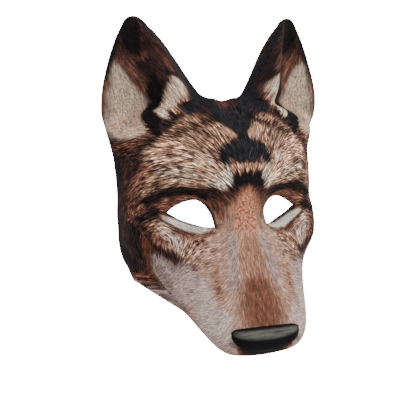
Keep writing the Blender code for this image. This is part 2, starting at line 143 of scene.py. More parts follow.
# The print, painted in order on the flat cloth. A mark is a soft line through points of the left
# half: millimetres across from the middle, millimetres up from the seat, and half width. "soft" is
# how far its edge fades as a share of its width, "strength" how much of the tone below it covers,
# and "bristle" how strongly single hairs show in it and at its edge.
Mark = namedtuple("Mark", "name tone soft strength bristle points")
MARKS = [
    # the ground of each region
    Mark("forehead", "tan", 0.35, 1, 1, [(29.5, 63, 18), (44, 47.5, 20), (65, 36, 18.5)]),
    Mark("forehead low", "tan", 0.4, 1, 1, [(26.5, 42, 12.5), (46.5, 30, 11), (70, 23, 11), (86.5, 15, 10)]),
    Mark("temple", "sienna", 0.5, 0.9, 1, [(86.5, 26, 10), (98.5, 10.5, 9), (103.5, 0, 9)]),
    Mark("side", "umber", 0.4, 1, 0.8, [
        (91.5, 40.5, 11.5), (107, 16, 11.5), (118, -9, 16), (126, -27.5, 18), (137.5, -44, 17),
    ]),
    Mark("muzzle", "blush", 0.4, 1, 0.34, [
        (11.5, -19, 21), (20.5, -46, 29.5), (29.5, -74, 31), (20.5, -91, 25.5),
    ]),
    Mark("muzzle far side", "blush", 0.4, 1, 0.45, [(53, -111, 39), (22, -113, 12)]),
    Mark("muzzle side", "lilac", 0.5, 0.9, 0.35, [
        (97.5, -66, 16.5), (69, -66, 14.5), (52.5, -80, 16), (46, -98, 18.5), (34, -112.5, 9.5),
    ]),
    Mark("cheek", "blush", 0.5, 0.8, 0.8, [(76, -24.5, 10.5), (63.5, -38, 11), (43, -38.5, 11.5)]),
    Mark("cheek low", "lilac", 0.5, 0.9, 0.35, [(101, -58, 15.5), (84.5, -69.5, 13)]),
    # ears
    Mark("ear", "bark", 0.2, 1, 0.35, [(92.5, 125.5, 22), (77.5, 100.5, 29), (91.5, 80.5, 32.5)]),
    Mark("ear back edge", "bark", 0.3, 1, 0.3, [(59.5, 131, 15.5), (40.5, 117.5, 25.5)]),
    Mark("ear red", "rust", 0.6, 0.75, 0.3, [(117.5, 93, 2.9), (118, 80.5, 3.5), (114, 66.5, 3)]),
    Mark("ear brown", "sienna", 0.9, 0.7, 0.7, [
        (104, 111.5, 2.9), (94, 119, 4.5), (89, 110.5, 6), (83.5, 99, 3.5),
    ]),
    Mark("ear orange", "rust", 0.8, 0.7, 0.6, [(90, 108.5, 2.6), (86.5, 102, 2.7)]),
    Mark("ear light", "greige", 0.35, 1, 0.2, [
        (102.5, 103, 8.5), (99.5, 94, 13), (96, 84, 18), (89, 70, 23), (87.5, 57.5, 10),
    ]),
    Mark("ear light low", "cream", 0.6, 0.8, 0.2, [
        (97, 64, 8.5), (96.5, 54.5, 5), (89.5, 54, 5), (78.5, 58, 3),
    ]),
    Mark("ear blush", "blush", 0.7, 0.7, 0.3, [(82, 81, 10), (78.5, 61, 4.5)]),
    Mark("ear smudge", "sienna", 0.9, 0.45, 0.2, [(107, 72.5, 2.3), (104.5, 71.5, 2.4)]),
    Mark("ear dot", "sienna", 0.8, 0.8, 0.2, [(90, 64, 1.7), (88.5, 63.5, 1.7)]),
    Mark("ear tip", "black", 0.5, 0.9, 0.15, [(70.5, 159, 5), (77.5, 148, 4.5), (89, 133, 5.5)]),
    Mark("ear outer edge", "black", 0.6, 0.8, 0.1, [
        (91.5, 133, 4.5), (109.5, 117, 3.5), (119, 99, 1.7), (121.5, 83.5, 1.2), (118, 70, 1.2),
        (107.5, 55.5, 1.5),
    ]),
    Mark("ear streaks", "sienna", 0.7, 0.5, 1, [(96.5, 120.5, 2), (87, 130, 2.3), (75, 134.5, 2.8)]),
    Mark("ear upper spot", "black", 0.35, 1, 0.5, [(72.5, 110.5, 7), (73.5, 103.5, 7.5), (69.5, 96.5, 4.5)]),
    Mark("ear lower spot", "black", 0.35, 1, 0.5, [
        (70.5, 88, 8), (67.5, 71, 7.5), (70, 61.5, 5.5), (66.5, 57, 4),
    ]),
    Mark("ear fold", "umber", 0.5, 0.9, 0.5, [(68, 134.5, 6.5), (67.5, 122.5, 6.5), (66.5, 113.5, 4.5)]),
    Mark("ear fold light", "sienna", 0.9, 0.5, 1, [(61.5, 137.5, 2.9), (58.5, 130, 4), (57, 125, 2.9)]),
    Mark("ear inner light", "cream", 0.35, 1, 0.6, [
        (53.5, 115.5, 3.5), (49, 109.5, 9), (53, 94.5, 10.5), (55, 85.5, 9.5), (57, 74, 4),
    ]),
    Mark("ear inner white", "white", 0.9, 0.4, 0.5, [(51, 113, 3.5), (53.5, 98.5, 5), (56.5, 75, 2.4)]),
    Mark("ear inner fringe", "sienna", 0.8, 0.7, 0.9, [
        (37, 113.5, 5), (42, 98.5, 5.5), (44, 84, 3), (51.5, 76.5, 2.2),
    ]),
    Mark("ear inner edge", "slate", 0.5, 1, 0.1, [
        (63.5, 179.5, 4), (56, 165, 4.5), (46.5, 147, 5), (33.5, 132.5, 5), (4.5, 125, 13),
        (21.5, 115.5, 14.5),
    ]),
    # crown and forehead
    Mark("crown", "slate", 0.35, 1, 0.3, [(22, 107, 13.5), (15.5, 97.5, 7), (0, 95, 5.5), (6, 92.5, 4)]),
    Mark("crown side", "slate", 0.4, 1, 0.6, [(38.5, 85, 4), (30, 93, 5.5)]),
    Mark("notch", "rust", 0.7, 0.65, 0.6, [(0, 102.5, 3.5), (5.5, 99.5, 3.5)]),
    Mark("under ear", "black", 0.6, 0.9, 1, [
        (44, 79.5, 2.5), (53, 71.5, 3.5), (59.5, 64, 3.5), (66.5, 57, 5), (75, 48.5, 4), (83, 43, 3),
    ]),
    Mark("ear foot", "rust", 0.7, 0.8, 1, [(100.5, 43, 4.5), (89, 45.5, 4), (79, 50.5, 3.5), (73, 56, 2.4)]),
    Mark("ear foot dark", "umber", 0.7, 0.7, 1, [(106, 36.5, 6.5), (91.5, 37.5, 4)]),
    Mark("bar", "slate", 0.3, 1, 0.5, [(10, 86, 9.5), (3, 72, 6.5), (0, 61.5, 6.5)]),
    Mark("bar shoulder", "slate", 0.6, 0.8, 1, [(0, 88, 5.5), (8.5, 87, 3.5)]),
    Mark("bar arms", "slate", 0.3, 1, 0.7, [
        (0, 47.5, 12), (8.5, 49.5, 8.5), (15, 50.5, 6.5), (19, 43.5, 4), (17, 38, 2.7),
    ]),
    Mark("bar light", "tan", 0.5, 1, 0.4, [(12.5, 67, 3.5), (9.5, 63.5, 3.5)]),
    Mark("bar orange", "salmon", 0.8, 0.7, 0.3, [(10, 64.5, 2.7), (8.5, 63.5, 2.7)]),
    Mark("arc", "clay", 0.45, 1, 0.9, [(0, 35.5, 3.5), (9, 35, 3), (14, 34.5, 2.4)]),
    Mark("arc light", "tan", 0.8, 0.7, 0.9, [(0, 36.5, 2.1), (12, 36, 2)]),
    Mark("brow patch", "black", 0.3, 1, 0.5, [(0, 24, 8), (7, 24, 7.5)]),
    Mark("brow light", "cream", 0.6, 0.8, 1, [(18.5, 34, 4), (21.5, 26.5, 6.5), (32.5, 26, 5.5)]),
    Mark("brow white", "white", 0.8, 0.75, 0.8, [(18, 34, 2.3), (16.5, 28.5, 2.8), (24, 24, 3.5)]),
    Mark("temple light", "greige", 0.6, 0.7, 1, [(45, 28, 4.5), (56, 27, 5.5), (70, 27.5, 4.5)]),
    Mark("forehead cream", "cream", 0.7, 0.6, 1, [(32, 41.5, 5.5), (45.5, 41, 4.5)]),
    Mark("forehead gold", "clay", 0.8, 0.5, 1, [(27, 74, 4.5), (40.5, 73, 4.5), (47.5, 65.5, 3.5)]),
    Mark("dark hairs", "black", 0.9, 0.85, 1, [
        (18.5, 81.5, 4), (31, 72.5, 4.5), (43.5, 64.5, 5), (54.5, 57, 4),
    ]),
    Mark("dark hairs mid", "black", 0.9, 0.6, 1, [(18, 58.5, 3.5), (24, 64, 3.5), (37.5, 57, 4)]),
    Mark("hairs by the bar", "black", 0.9, 0.6, 1, [(24.5, 50, 4), (22, 40, 4)]),
    Mark("dark hairs low", "black", 0.9, 0.5, 1, [(26, 48.5, 3), (36.5, 50.5, 3), (48, 50, 3)]),
    Mark("temple dark", "umber", 0.8, 0.7, 1, [(66, 19.5, 2), (79.5, 13.5, 3), (91.5, 6.5, 3.5)]),
    Mark("temple hairs", "umber", 0.9, 0.75, 1, [(55.5, 32.5, 2.3), (67, 31, 3), (78, 25, 3)]),
    Mark("temple hairs low", "black", 0.9, 0.5, 1, [(50, 25, 1.6), (62.5, 24, 2.3), (75, 18.5, 2.4)]),
    # round the eyes
    Mark("lid brown", "sienna", 0.5, 0.9, 0.7, [
        (71, -1.5, 5), (58, 5, 5), (42, 9, 5.5), (28, 3, 5.5), (20, -4, 4),
    ]),
    Mark("inner corner", "sienna", 0.8, 0.5, 0.6, [(18.5, 9, 4.5), (20, -4, 4), (23.5, -14, 3.5)]),
    Mark("brow line", "black", 0.5, 0.95, 0.8, [
        (82.5, 0.5, 3), (74, 7, 4.5), (63.5, 12, 5), (52, 14.5, 4), (40, 13.5, 3.5), (32.5, 9.5, 2.7),
    ]),
    Mark("lid edge", "black", 0.8, 0.9, 0.1, [
        (66, -7, 1.7), (54, -0.5, 1.4), (42, 4, 1.4), (33, 1, 1.4), (27, -6.5, 1.2), (26.5, -15.5, 1.3),
    ]),
    Mark("lid light", "white", 0.4, 1, 0.3, [
        (70, -10.5, 1.9), (61, -15, 3), (52, -19.5, 3.5), (42, -21.5, 2.9), (33, -19.5, 1.9),
    ]),
    Mark("lid shade", "rust", 0.8, 0.8, 0.6, [
        (61, -23.5, 1.8), (51, -26.5, 2.4), (38.5, -25, 2.4), (29.5, -20.5, 1.9),
    ]),
    Mark("outer corner", "black", 0.6, 0.9, 1, [(73.5, -5, 2), (83.5, -10.5, 3.5), (90.5, -15, 4)]),
    Mark("corner blush", "clay", 0.8, 0.8, 0.5, [(71.5, -9, 1.7), (68, -9, 1.3)]),
    Mark("cheek light", "pale", 0.7, 0.6, 0.9, [(74, -19, 3.5), (71, -27.5, 5.5), (69.5, -35, 5.5)]),
    Mark("cheek streak", "sienna", 0.7, 0.8, 1, [(86, -19.5, 4.5), (85.5, -27, 4.5), (84.5, -33.5, 3.5)]),
    Mark("cheek spot", "umber", 0.7, 0.85, 0.8, [(89, -38, 2.8), (81.5, -41.5, 4.5), (71.5, -43, 2.9)]),
    Mark("cheek spot dark", "black", 0.8, 0.3, 0.7, [(86, -41.5, 2.8), (77.5, -42.5, 1.9)]),
    Mark("cheek mid", "blush", 0.7, 0.8, 0.9, [(48, -32.5, 4.5), (58, -42.5, 5.5)]),
    Mark("cheek lines", "rust", 0.8, 0.6, 1, [(42, -29.5, 2.3), (54, -35, 2.3), (63, -39.5, 1.9)]),
    Mark("side dark", "black", 0.6, 0.9, 0.8, [
        (110.5, 31.5, 7), (115.5, 11, 6.5), (125.5, -9.5, 4), (146, -30, 5.5), (147, -43, 10),
        (138.5, -50.5, 7),
    ]),
    Mark("side dark mid", "black", 0.8, 0.75, 0.9, [(104.5, -19, 5.5), (121, -34.5, 8), (122.5, -43.5, 6)]),
    Mark("side brown", "sienna", 0.8, 0.7, 1, [(98, -3, 4), (88, -4, 3.5), (106.5, -13.5, 3.5)]),
    Mark("cheek edge", "rust", 0.6, 0.9, 0.5, [
        (98.5, -29, 2.8), (112, -43, 4), (121.5, -58, 4), (104.5, -72.5, 1.1),
    ]),
    Mark("jaw brown", "umber", 0.7, 0.9, 0.9, [(133, -58, 2.9), (112.5, -68, 1.5), (98, -76, 0.8)]),
    Mark("jaw red", "rust", 0.8, 0.5, 0.9, [(125, -61, 2.3), (108, -70.5, 0.9)]),
    Mark("jaw edge", "dun", 0.7, 0.8, 0.3, [(90.5, -81, 0.9), (83, -87.5, 1.6), (82.5, -86.5, 2.6)]),
    Mark("cheek grey", "dun", 0.8, 0.7, 0.4, [(106, -54, 6.5), (99.5, -64, 9.5)]),
    # muzzle
    Mark("bridge", "salmon", 0.6, 0.95, 0.1, [(0, 11.5, 7.5), (0, 2.5, 12), (3, -7, 11)]),
    Mark("bridge ticks", "rust", 0.9, 0.5, 1, [(8.5, 16.5, 2.5), (4, 17, 2.5)]),
    Mark("bridge side", "dun", 0.8, 0.6, 0.4, [(11.5, -3, 2.8), (15, -13.5, 3.5)]),
    Mark("muzzle stripe", "ash", 0.8, 0.7, 0.3, [(14.5, -23.5, 3.5), (16.5, -42, 4), (20, -62, 5)]),
    Mark("muzzle centre", "clay", 0.6, 0.75, 0.27, [
        (3, -23, 4), (3.5, -36, 7.5), (0, -51, 11), (3, -65, 14), (0, -80.5, 16.5),
    ]),
    Mark("muzzle rust", "rust", 0.6, 0.75, 0.27, [(4, -59.5, 6.5), (2.5, -71, 13), (3, -82.5, 16.5)]),
    Mark("muzzle freckles", "clay", 0.9, 0.6, 0.6, [(35.5, -54, 3.5), (35.5, -66.5, 5.5), (38, -81.5, 6)]),
    Mark("muzzle freckle", "umber", 0.9, 0.6, 0.2, [(35.5, -70, 1.1), (34.5, -70.5, 1.1)]),
    Mark("muzzle pale", "pale", 0.7, 0.8, 0.2, [(49, -81.5, 8), (54, -91.5, 8.5), (45.5, -102.5, 8)]),
    Mark("nose side", "pale", 0.8, 0.6, 0.2, [(30, -94, 4.5), (33.5, -107.5, 4)]),
    Mark("lip", "umber", 0.7, 0.5, 0.3, [(28.5, -116, 2.5), (22, -114.5, 3.5)]),
    Mark("chin", "umber", 0.6, 1, 0.2, [(12, -120, 8), (0, -112.5, 7), (12.5, -113, 5), (21.5, -117.5, 2.8)]),
    Mark("chin red", "sienna", 0.7, 0.7, 0.2, [(11, -116.5, 4), (4, -125, 5.5), (21, -119.5, 2.6)]),
    Mark("chin black", "black", 0.6, 0.85, 0.2, [(13, -121, 6), (0, -112, 4.5), (12, -114, 3.5)]),
]


def screen_colour(red, green, blue):
    """A colour as a screen shows it, 0 to 255, as linear light."""
    shares = [c / 255 for c in (red, green, blue)]
    return tuple(c / 12.92 if c < 0.04 else ((c + 0.055) / 1.055) ** 2.4 for c in shares)


def colour_property(name, description, rgb):
    return bpy.props.FloatVectorProperty(
        name=name, description=description, subtype="COLOR", size=3, min=0, max=1, default=screen_colour(*rgb)
    )


def length_property(name, description, default):
    return bpy.props.FloatProperty(name=name, description=description, default=default, min=0, unit="LENGTH")


def angle_property(name, description, degrees):
    return bpy.props.FloatProperty(
        name=name, description=description, default=math.radians(degrees), unit="ROTATION"
    )


class WolfMaskShell(bpy.types.PropertyGroup):
    """Sizes of the moulded sheet"""

    face_width: length_property("Face width", "Cut edge to cut edge at the temples", 0.180)
    face_height: length_property("Face height", "Underside of the muzzle to the notch", 0.197)
    face_depth: length_property("Face depth", "Side cut edges to the tip of the muzzle", 0.098)
    ear_height: length_property("Ear height", "Notch to the ear tips", 0.0685)
    ear_cup: length_property("Ear cup", "How far an ear's front fold stands proud", 0.022)
    wall: length_property("Wall", "Fabric and foam together", 0.0025)
    ear_wall: length_property("Ear wall", "The same, pressed thin at the ears", 0.0011)
    socket_depth: length_property("Socket depth", "Hollow round each eye opening", 0.0075)
    eye_spacing: length_property("Eye spacing", "Inner corner to inner corner", 0.045)
    eye_width: length_property("Eye width", "Inner corner to outer corner", 0.0365)
    eye_rise: length_property("Eye rise", "Upper lid above the corners' line", 0.0160)
    eye_drop: length_property("Eye drop", "Lower lid below the corners' line", 0.0026)
    eye_below: length_property("Eye below seat", "Inner corner below the seat", 0.013)
    eye_tilt: angle_property("Eye tilt", "Outer corner turned up", 19)
    columns: bpy.props.IntProperty(name="Columns", description="Mesh columns over half the face", default=144)
    spacing: length_property("Row spacing", "Widest space between two mesh rows", 0.0013)
    kept: bpy.props.FloatProperty(
        name="Kept faces", description="Share left once the foam side is thinned", default=0.525, min=0, max=1
    )


class WolfMaskCoat(bpy.types.PropertyGroup):
    """Tones of the print"""

    black: colour_property("Black", "Darkest fur", (20, 16, 17))
    slate: colour_property("Slate", "Blue-black of the crown", (34, 33, 37))
    bark: colour_property("Bark", "Dark inside of the ears", (44, 31, 29))
    umber: colour_property("Umber", "Dark brown fur", (62, 40, 36))
    sienna: colour_property("Sienna", "Mid brown fur", (118, 78, 64))
    rust: colour_property("Rust", "Red-brown fringes", (100, 58, 44))
    clay: colour_property("Clay", "Top of the muzzle", (158, 110, 88))
    tan: colour_property("Tan", "Forehead fur", (204, 160, 132))
    dun: colour_property("Dun", "Grey-brown fur", (136, 116, 105))
    salmon: colour_property("Salmon", "Bridge", (204, 140, 110))
    blush: colour_property("Blush", "Cheeks and muzzle", (190, 151, 130))
    lilac: colour_property("Lilac", "Sides of the muzzle", (190, 166, 158))
    ash: colour_property("Ash", "Grey stripe on the muzzle", (164, 148, 146))
    greige: colour_property("Greige", "Inside of the ears", (190, 172, 152))
    cream: colour_property("Cream", "Light inner ear fur", (224, 192, 164))
    pale: colour_property("Pale", "Lightest muzzle fur", (212, 192, 182))
    white: colour_property("White", "White fur", (228, 216, 202))


class WolfMaskTrim(bpy.types.PropertyGroup):
    """Sizes and colours of the nose pad, the strap and the foam"""

    nose_width: length_property("Nose width", "Across the nose pad", 0.058)
    nose_height: length_property("Nose height", "Top to bottom of the nose pad", 0.0195)
    nose_end: length_property("Nose end", "Height of the nose pad's blunt ends", 0.0085)
    nose_thickness: length_property("Nose thickness", "Crown of the nose pad", 0.0032)
    nose_raise: length_property("Nose raise", "Nose pad above the muzzle's underside", 0.0071)
    nose_gap: length_property("Nose gap", "Clearance under the nose pad", 0.0005)
    strap_width: length_property("Strap width", "Width of the elastic", 0.016)
    strap_thickness: length_property("Strap thickness", "Thickness of the elastic", 0.0015)
    strap_level: length_property("Strap level", "Middle of the elastic above the seat", 0.031)
    strap_tongue: length_property("Strap tongue", "Sewn length of each end", 0.024)
    strap_margin: length_property("Strap margin", "Cut edge to the sewn end", 0.014)
    strap_reach: length_property("Strap reach", "Loop behind the side cut edges", 0.060)
    strap_gap: length_property("Strap gap", "Clearance between strap and wall", 0.0004)
    foam: colour_property("Foam", "Foam and cut edges", (26, 24, 25))
    nose: colour_property("Nose", "Nose pad", (11, 12, 14))
    # Nose shine is a painted highlight: the lighter band on the upper nose pad stands in for the reflection
    # of the light from above
    nose_painted_highlight: colour_property("Nose shine", "Lighter band along the nose pad", (104, 103, 94))
    elastic: colour_property("Elastic", "Strap", (28, 27, 28))


class WolfMaskStage(bpy.types.PropertyGroup):
    """The studio and the camera"""

    distance: length_property("Camera distance", "Camera to the middle of the cut edges", 0.95)
    azimuth: angle_property("Azimuth", "Camera turn", -25)
    elevation: angle_property("Elevation", "Camera height", 7)
    focal: bpy.props.FloatProperty(name="Focal length", description="On a 36 mm wide sensor", default=100.9)
    drop: length_property("Floor", "Floor below the seat", 0.30)
    paper: colour_property("Paper", "Floor and background", (244, 244, 244))
    glow: bpy.props.FloatProperty(name="Glow", description="How brightly the paper is lit", default=18, min=0)


def deselect_all():
    if bpy.context.object and bpy.context.object.mode != "OBJECT":
        bpy.ops.object.mode_set(mode="OBJECT")
    bpy.ops.object.select_all(action="DESELECT")


def activate(obj):
    deselect_all()
    obj.select_set(True)
    bpy.context.view_layer.objects.active = obj


def apply_modifier(obj, name):
    activate(obj)
    bpy.ops.object.modifier_apply(modifier=name)


def smoothstep(low, high, value):
    share = np.clip((value - low) / (high - low), 0, 1)
    return share * share * (3 - 2 * share)


# The moulded form


def plateau(x, half_width, edge):
    return 1 / (1 + (np.abs(x) / half_width) ** edge)


def face_section(row, size):
    """Points (x, forward, height) from the middle of the face to the cut edge."""
    half = size.face_width / 2
    edge_x = row.edge_width * half
    angle = np.linspace(0, math.pi / 2, 1200)
    x = edge_x * np.sin(angle) ** (2 / row.fullness)
    side = row.edge_forward + (row.cheek - row.edge_forward) * np.cos(angle) ** (2 / row.fullness)
    walked = np.concatenate([[0], np.cumsum(np.hypot(np.diff(x), np.diff(side * size.face_depth)))])
    even = np.linspace(0, walked[-1], size.columns + 1)
    x = np.interp(even, walked, x)
    side = np.interp(even, walked, side)
    outside = plateau(edge_x, row.ridge_width * half, row.ridge_edge)
    raised = (plateau(x, row.ridge_width * half, row.ridge_edge) - outside) / (1 - outside)
    forward = side + (row.ridge - row.cheek) * raised
    level = row.sag * raised + (1 - row.sag) * (1 - (x / edge_x) ** 2)
    height = row.edge_height + (row.mid_height - row.edge_height) * level
    return np.stack([x, forward * size.face_depth, height * size.face_height], axis=1)


def ear_section(row, size, start):
    """Points (x, forward, height) across an ear, from its inner cut edge to its outer one."""
    share = np.linspace(0, 1, size.columns - start + 1)
    notch = FACE[-1].mid_height * size.face_height
    x = (row.inner_width + (row.outer_width - row.inner_width) * share) * size.face_width / 2
    forward = (row.inner_forward + (row.outer_forward - row.inner_forward) * share) * size.face_depth
    rise = row.dome * 4 * share * (1 - share)
    level = row.inner_height + (row.outer_height - row.inner_height) * share + rise
    height = notch + level * size.ear_height
    fold = row.fold * np.exp(-(((share - FOLD_PLACE) / FOLD_SPREAD) ** 2))
    dish = row.dish * np.exp(-(((share - DISH_PLACE) / DISH_SPREAD) ** 2))
    cup = fold - dish
    cup -= (1 - share) * cup[0] + share * cup[-1]
    return np.stack([x, forward + cup * size.ear_cup, height], axis=1)


def between(p0, p1, p2, p3, t):
    """A smooth curve through p1 and p2, which p0 and p3 steer."""
    return 0.5 * (
        2 * p1 + (p2 - p0) * t + (2 * p0 - 5 * p1 + 4 * p2 - p3) * t**2 + (3 * p1 - p0 - 3 * p2 + p3) * t**3
    )


def loft(before, rows, after, spacing):
    """Rows of points through the given sections, no further apart than the spacing."""
    guide = [before, *rows, after]
    made = []
    for i in range(len(rows) - 1):
        steps = math.ceil(np.linalg.norm(rows[i + 1] - rows[i], axis=-1).max() / spacing)
        made += [between(*guide[i : i + 4], step / steps) for step in range(steps)]
    return np.array([*made, rows[-1]])


def ear_start(size):
    return round(size.columns * EAR_SHARE)


def half_grids(size):
    """The outer surface of the left half, as rows for the face and for the ear above it."""
    start = ear_start(size)
    face_rows = [face_section(row, size) for row in FACE]
    share = (face_rows[-1][:, 0] / face_rows[-1][start, 0]) ** 2
    face_rows[-1][:, 2] += NOTCH_RISE * size.face_height * share * np.exp(1 - share)
    ear_rows = [ear_section(row, size, start) for row in EAR]
    above = 2 * face_rows[-1] - face_rows[-2]
    above[start:] = ear_rows[0]
    face = loft(2 * face_rows[0] - face_rows[1], face_rows, above, size.spacing)
    middle_x = size.eye_spacing / 2 + SOCKET_PLACE[0] * size.eye_width
    middle_z = SOCKET_PLACE[1] * size.eye_rise - size.eye_below
    across = (face[..., 0] - middle_x) / (SOCKET_SPREAD[0] * size.eye_width)
    upward = (face[..., 2] - middle_z) / (SOCKET_SPREAD[1] * size.eye_rise)
    face[..., 1] -= size.socket_depth * np.exp(-(across**2) - upward**2)
    past_tip = 2 * ear_rows[-1] - ear_rows[-2]
    notch = face_rows[-1][start:]
    ease = smoothstep(0, TURN_SHARE, np.linspace(0, 1, len(notch))[:, None])
    inward = notch - np.array([TURN_REACH * size.face_width / 2, 0, 0])
    steer = inward * (1 - ease) + face_rows[-2][start:] * ease
    ear = loft(steer, [notch, *ear_rows], past_tip, size.spacing)
    return face, ear


def seat_forward(face, size):
    middle = face[:, 0]
    return float(np.interp(0.0, middle[:, 2], middle[:, 1])) - size.wall


def whole_grid(size):
    """The outer surface over both halves, in metres: rows x columns x (x, y, z).

    Rows past the face are the ears', which have no points of their own between the ears, so those
    repeat the ears' inner edges.
    """
    face, ear = half_grids(size)
    seat = seat_forward(face, size)
    start = ear_start(size)
    above = np.empty((len(ear) - 1, size.columns + 1, 3))
    above[:, start:] = ear[1:]
    above[:, :start] = ear[1:, :1]
    left = np.concatenate([face, above])
    left = np.stack([left[..., 0], seat - left[..., 1], left[..., 2]], axis=2)
    right = left[:, :0:-1] * np.array([-1.0, 1.0, 1.0])
    return np.concatenate([right, left], axis=1), len(face), seat


# The print


def grid_slopes(grid):
    return np.gradient(grid, axis=1), np.gradient(grid, axis=0)


def lie_angles(x, z):
    """The angle of the fur at each point, from the nearest rows of LIE, over both halves."""
    total = np.zeros((2, *x.shape))
    for place_x, place_z, degrees in LIE:
        gap = (np.abs(x) / MM - place_x) ** 2 + (z / MM - place_z) ** 2
        weight = 1 / (gap + 30) ** 2
        twice = 2 * math.radians(degrees)
        total += weight * np.array([math.cos(twice), math.sin(twice)])[:, None, None]
    angle = np.arctan2(total[1], total[0]) / 2
    return np.where(x < 0, math.pi - angle, angle)


def cloth_places(grid, face_rows, start):
    """Distance across the fabric from the middle and up it from the height of the seat, in metres."""
    middle = grid.shape[1] // 2
    steps = np.linalg.norm(np.diff(grid, axis=1), axis=2)
    steps[face_rows:, middle - start : middle + start] = 0
    across = np.concatenate([np.zeros((len(grid), 1)), np.cumsum(steps, axis=1)], axis=1)
    across -= across[:, middle : middle + 1]
    inner = np.abs(grid[face_rows:, middle + start, 0])[:, None]
    across[face_rows:] += np.sign(across[face_rows:]) * inner
    rises = np.linalg.norm(np.diff(grid, axis=0), axis=2)
    up = np.concatenate([np.zeros((1, grid.shape[1])), np.cumsum(rises, axis=0)])
    level = int(np.argmin(np.abs(grid[:face_rows, middle, 2])))
    up -= up[level : level + 1]
    return across, up


def flow(grid, angle, across, up):
    """How the fur's direction runs over the mesh and over the flat cloth, for each point."""
    by_column, by_row = grid_slopes(grid)
    unit = by_column / np.maximum(np.linalg.norm(by_column, axis=2, keepdims=True), 1e-9)
    lift = by_row - (by_row * unit).sum(2, keepdims=True) * unit
    lift /= np.maximum(np.linalg.norm(lift, axis=2, keepdims=True), 1e-9)
    way = np.cos(angle)[..., None] * unit + np.sin(angle)[..., None] * lift
    cc = (by_column**2).sum(2) + 1e-10
    rr = (by_row**2).sum(2) + 1e-10
    cr = (by_column * by_row).sum(2)
    wc, wr = (way * by_column).sum(2), (way * by_row).sum(2)
    spread = np.maximum(cc * rr - cr**2, 0.02 * cc * rr)
    columns = (rr * wc - cr * wr) / spread
    rows = (cc * wr - cr * wc) / spread
    across_c, across_r = np.gradient(across, axis=1), np.gradient(across, axis=0)
    up_c, up_r = np.gradient(up, axis=1), np.gradient(up, axis=0)
    flat = np.arctan2(columns * up_c + rows * up_r, columns * across_c + rows * across_r)
    return columns, rows, flat


def sample(field, row, column):
    """Read a field between its points."""
    row = np.clip(row, 0, field.shape[0] - 1.001)
    column = np.clip(column, 0, field.shape[1] - 1.001)
    r, c = row.astype(int), column.astype(int)
    fr, fc = row - r, column - c
    low = field[r, c] * (1 - fc) + field[r, c + 1] * fc
    high = field[r + 1, c] * (1 - fc) + field[r + 1, c + 1] * fc
    return low * (1 - fr) + high * fr


def combed(columns, rows, length, seed):
    """Noise drawn out along the fur: about -1 to 1 at each point."""
    noise = np.random.default_rng(seed).standard_normal(columns.shape)
    row0, column0 = np.indices(columns.shape).astype(float)
    total, count = noise.copy(), 1
    for way in (1, -1):
        row, column = row0.copy(), column0.copy()
        for _ in range(length):
            move_c, move_r = sample(columns, row, column), sample(rows, row, column)
            column += np.clip(way * move_c * MM, -3, 3)
            row += np.clip(way * move_r * MM, -3, 3)
            total += sample(noise, row, column)
            count += 1
    total /= math.sqrt(count)
    return np.clip(total / (2 * total.std()), -1, 1)


def stroke_cover(x, z, mark):
    """How much of each point a mark covers, 0 to 1."""
    nearest = np.full(x.shape, 1e9)
    points = mark.points
    for (x0, z0, w0), (x1, z1, w1) in zip(points[:-1], points[1:]):
        run_x, run_z = x1 - x0, z1 - z0
        share = np.clip(((x - x0) * run_x + (z - z0) * run_z) / (run_x**2 + run_z**2), 0, 1)
        away = np.hypot(x - x0 - share * run_x, z - z0 - share * run_z)
        nearest = np.minimum(nearest, away / (w0 + (w1 - w0) * share))
    return 1 - smoothstep(1 - mark.soft, 1 + mark.soft, nearest)


def paint_coat(across, up, flat, columns, rows, tones):
    """The print's colour, and how strongly the fur shows in it, at each point of the grid."""
    long_hair = combed(columns, rows, 8, 3)
    short_hair = combed(columns, rows, 3, 5)
    stray = combed(columns, rows, 2, 8)
    pull = HAIR_PULL[0] * long_hair + HAIR_PULL[1] * short_hair
    toward_side = np.where(across < 0, -1, 1) * np.cos(flat)
    upward = np.sin(flat)
    colour = np.empty((*across.shape, 3))
    colour[:] = tones["umber"]
    bristle = np.full(across.shape, 0.8)
    for mark in MARKS:
        reach = pull * (HAIR_REACH[0] + HAIR_REACH[1] * mark.bristle)
        x = np.abs(across) / MM + reach * toward_side + STRAY_REACH * stray
        z = up / MM + reach * upward + STRAY_REACH * stray
        cover = stroke_cover(x, z, mark) * mark.strength
        colour += (tones[mark.tone] - colour) * cover[..., None]
        bristle += (mark.bristle - bristle) * cover
    shade = 1 + bristle * (HAIR_SHADE[0] * long_hair + HAIR_SHADE[1] * short_hair)
    colour *= np.maximum(shade, 0.1)[..., None]
    return np.clip(colour, 0, 1), np.clip(bristle, 0, 1)


# Materials


